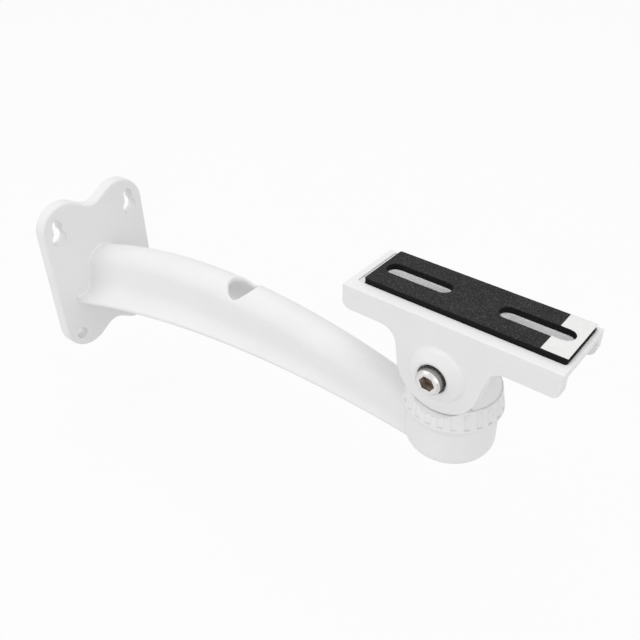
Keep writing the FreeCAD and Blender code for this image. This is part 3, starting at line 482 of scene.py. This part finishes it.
def foam_cushion():
    """The die-cut pad: a crisp outline, sides that pull in and an uneven grained top."""
    low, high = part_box("foam_pad")
    thickness = high.z - low.z
    form = bmesh.new()
    form.from_mesh(frame["nodes"]["foam_pad"].data)
    bmesh.ops.remove_doubles(form, verts=form.verts, dist=PAD_WELD)
    bmesh.ops.dissolve_limit(form, angle_limit=PAD_FLAT_WITHIN, verts=form.verts, edges=form.edges)

    def is_side(face):
        return abs(face.normal.z) < 0.5

    def everything():
        return form.verts[:] + form.edges[:] + form.faces[:]

    def sides():
        faces = [face for face in form.faces if is_side(face)]
        edges = {edge for face in faces for edge in face.edges}
        corners = {corner for face in faces for corner in face.verts}
        return list(corners) + list(edges) + faces

    slice_evenly(form, everything, 0, low.x, high.x, PAD_CELL)
    slice_evenly(form, everything, 1, low.y, high.y, PAD_CELL)
    form.normal_update()
    slice_evenly(form, sides, 2, low.z, high.z, PAD_LAYER)
    form.normal_update()

    def unit_noise(spot, size):
        """Smooth noise from 0 to 1."""
        return 0.5 + 0.5 * noise.noise(spot / size)

    def move(vertex):
        """Where a point of the plain pad goes: in at the sides, most halfway up, and down at the top."""
        spot = vertex.co.copy()
        height = (spot.z - low.z) / thickness
        grain = unit_noise(spot, PAD_GRAIN_SIZE)
        outward = Vector()
        for face in vertex.link_faces:
            if is_side(face):
                outward += face.normal
        at_side = outward.length > 0
        shift = Vector()
        if at_side:
            outward.normalize()
            shift -= outward * (PAD_SIDE_PULL * 4 * height * (1 - height) + PAD_GRAIN * grain * height)
        if height > PAD_TOP_SHARE:
            edge = PAD_EDGE_DROP if at_side else 0
            shift.z -= PAD_GRAIN * grain + PAD_WAVE * unit_noise(spot, PAD_WAVE_SIZE) + edge
        return shift

    moves = [move(vertex) for vertex in form.verts]
    for vertex, shift in zip(form.verts, moves):
        vertex.co += shift
    pad = piece_from(form, "foam_cushion")
    pad.data.shade_smooth()
    pad.data.set_sharp_from_angle(angle=PAD_CREASE)
    return pad


def liner_sheet():
    """The release paper on the pad's outer end: two legs beside the slot, and the end that joins them."""
    low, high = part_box("liner_strip")
    high.x += LINER_OVERHANG
    middle = (low.y + high.y) / 2
    slot_end = high.x - LINER_OVERHANG - LINER_BRIDGE - LINER_SLOT_HALF
    rows_before = round((slot_end - low.x) / LINER_STEP)
    rows_after = round((high.x - slot_end) / LINER_STEP)

    def height(x, y):
        """Nearly flat, with a slight wave and a lifted inner edge."""
        near_edge = max(0, 1 - (x - low.x) / LINER_CURL_LENGTH)
        ripple = noise.noise(Vector((x, y, 0)) / LINER_RIPPLE_SIZE)
        curl = near_edge ** 2 * (LINER_CURL + LINER_CURL_RIPPLE * ripple)
        return low.z + LINER_LIFT * (LINER_LEVEL + curl + LINER_RIPPLE * ripple)

    form = bmesh.new()
    corners = {}

    def corner(x, y):
        """The point of the sheet at one place, made once."""
        key = (round(x / MM, 4), round(y / MM, 4))
        if key not in corners:
            corners[key] = form.verts.new((x, y, height(x, y)))
        return corners[key]

    def panel(y_values, x_rows):
        """Quads between neighbouring columns; x_rows gives one column's X values."""
        for near, far in zip(y_values, y_values[1:]):
            near_row, far_row = x_rows(near), x_rows(far)
            for index in range(len(near_row) - 1):
                form.faces.new([
                    corner(near_row[index], near), corner(near_row[index + 1], near),
                    corner(far_row[index + 1], far), corner(far_row[index], far),
                ])

    def steps(start, end, count):
        return [start + (end - start) * index / count for index in range(count + 1)]

    def leg_row(_):
        return steps(low.x, slot_end, rows_before) + steps(slot_end, high.x, rows_after)[1:]

    def bridge_row(y):
        """From the slot's round end to the pad's."""
        inner_end = slot_end + math.sqrt(max(LINER_SLOT_HALF ** 2 - (y - middle) ** 2, 0))
        return steps(inner_end, high.x, rows_after)

    near_leg, far_leg = middle - LINER_SLOT_HALF, middle + LINER_SLOT_HALF
    leg_columns = round((near_leg - low.y) / LINER_STEP)
    bridge_columns = round(2 * LINER_SLOT_HALF / LINER_STEP)
    panel(steps(low.y, near_leg, leg_columns), leg_row)
    panel(steps(near_leg, far_leg, bridge_columns), bridge_row)
    panel(steps(far_leg, high.y, leg_columns), leg_row)
    bmesh.ops.recalc_face_normals(form, faces=form.faces)
    sheet = piece_from(form, "liner_sheet")
    sheet.data.shade_smooth()
    thick = sheet.modifiers.new("paper", "SOLIDIFY")
    thick.thickness = LINER_THICKNESS
    thick.offset = 1
    apply_modifiers(sheet)
    return sheet


def dress_object():
    """Every visible piece with its material."""
    nodes = frame["nodes"]
    coat = white_coat("white_coat", CASTING_EDGE)
    for name in ("arm_casting", "camera_tray"):
        dress(nodes[name], coat)
    dress(nodes["swivel"], white_coat("thick_white_coat", SWIVEL_EDGE))
    tilt, pan = joints["tilt"], joints["pan"]
    screw_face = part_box("tilt_screw")[0].y - tilt.y
    bolt_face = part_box("pan_bolt")[0].z - pan.z
    tilt_steel = turned_steel("tilt_steel", tilt, "Y", screw_face)
    pan_steel = turned_steel("pan_steel", pan, "Z", bolt_face)
    for name in ("tilt_screw", "tilt_washer", "tilt_nut"):
        dress(nodes[name], tilt_steel)
    for name in ("pan_bolt", "pan_washer", "pan_spring_washer"):
        dress(nodes[name], pan_steel)

    pad = foam_cushion()
    dress(pad, cellular_rubber())
    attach(pad, "tilt_head")
    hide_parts("foam_pad")

    sheet = liner_sheet()
    dress(sheet, release_paper())
    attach(sheet, "tilt_head")
    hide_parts("liner_strip")


def floor():
    """A square of floor below the bracket, which hangs on a wall that isn't shown."""
    level = cad_box[0].z - FLOOR_DROP
    form = bmesh.new()
    bmesh.ops.create_grid(form, x_segments=FLOOR_SQUARES, y_segments=FLOOR_SQUARES, size=FLOOR_SIZE / 2)
    bmesh.ops.translate(form, verts=form.verts, vec=(0, 0, level))
    ground = piece_from(form, "floor")
    dress(ground, pale_floor())


def soft_box(name, place, aim, width, power):
    """A square light that faces a point."""
    data = bpy.data.lights.new(name, "AREA")
    data.size = width
    data.energy = power
    lamp = bpy.data.objects.new(name, data)
    lamp.location = place
    lamp.rotation_euler = (aim - place).to_track_quat("-Z", "Y").to_euler()
    bpy.context.scene.collection.objects.link(lamp)


def studio_world():
    """White to the camera and in reflections, and a softer even light on everything."""
    world = bpy.data.worlds.new("studio")
    world.use_nodes = True
    bpy.context.scene.world = world
    g = Graph(world.node_tree)
    shown = g.node("Background", {"Color": WHITE, "Strength": 1.0}).outputs["Background"]
    light = g.node("Background", {"Color": WHITE, "Strength": AMBIENT}).outputs["Background"]
    output = g.node("OutputWorld")
    g.feed(output.inputs["Surface"], g.mixed(g.backdrop_rays(), light, shown))


def viewpoint():
    """The camera, turned by its roll about the line of sight."""
    data = bpy.data.cameras.new("camera")
    data.lens = LENS
    camera = bpy.data.objects.new("camera", data)
    camera.rotation_mode = "QUATERNION"
    camera.location = EYE
    upright = (AIM - EYE).to_track_quat("-Z", "Y")
    camera.rotation_quaternion = upright @ Quaternion((0, 0, 1), ROLL)
    bpy.context.scene.collection.objects.link(camera)
    bpy.context.scene.camera = camera


def studio():
    """The floor, the world, the soft boxes and the camera."""
    floor()
    studio_world()
    middle = (cad_box[0] + cad_box[1]) / 2
    for name, place, width, power in SOFT_BOXES:
        soft_box(name, Vector(place), middle, width, power)
    viewpoint()
    bpy.context.scene.view_settings.view_transform = "Standard"


dress_object()
studio()
